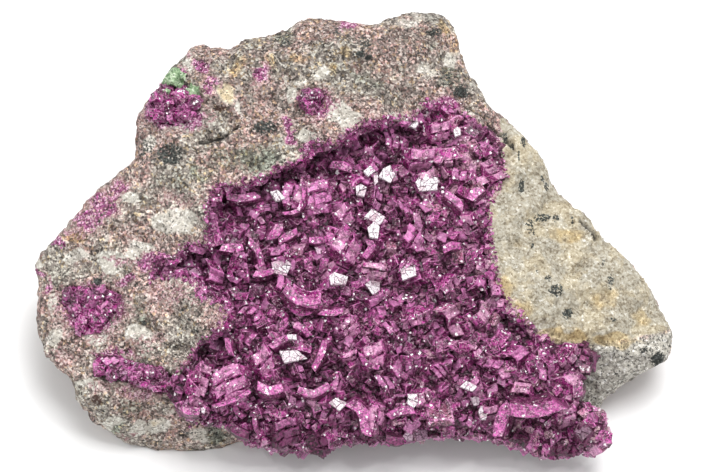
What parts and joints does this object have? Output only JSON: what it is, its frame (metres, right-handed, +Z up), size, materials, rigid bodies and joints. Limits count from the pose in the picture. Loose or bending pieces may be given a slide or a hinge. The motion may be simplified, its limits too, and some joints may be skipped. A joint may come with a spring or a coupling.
{
  "type": "cobaltoan dolomite specimen",
  "caption": "Natural mineral specimen: a crust of magenta rhombohedral dolomite crystals in a hollow of grey matrix rock, with a flat base to rest on.",
  "frame": {"origin": "middle of the specimen's box, on the plane it rests on", "axes": "+X along the specimen's longest way, +Z up, -Y towards the viewer of its crystal face"},
  "size_m": [0.1, 0.0732, 0.033],
  "materials": {
    "matrix": "rough broken rock, grey with pink washes and black spots, cream on the right-hand face",
    "dolomite": "glassy to pearly translucent magenta crystals with white reflecting faces"
  },
  "bodies": {
    "root": {"matrix_rock": "matrix", "dolomite_crystal_field": "dolomite", "left_vein_druse": "dolomite", "lower_left_druse": "dolomite", "upper_left_druse": "dolomite", "upper_pocket_druse": "dolomite"}
  },
  "joints": []
}
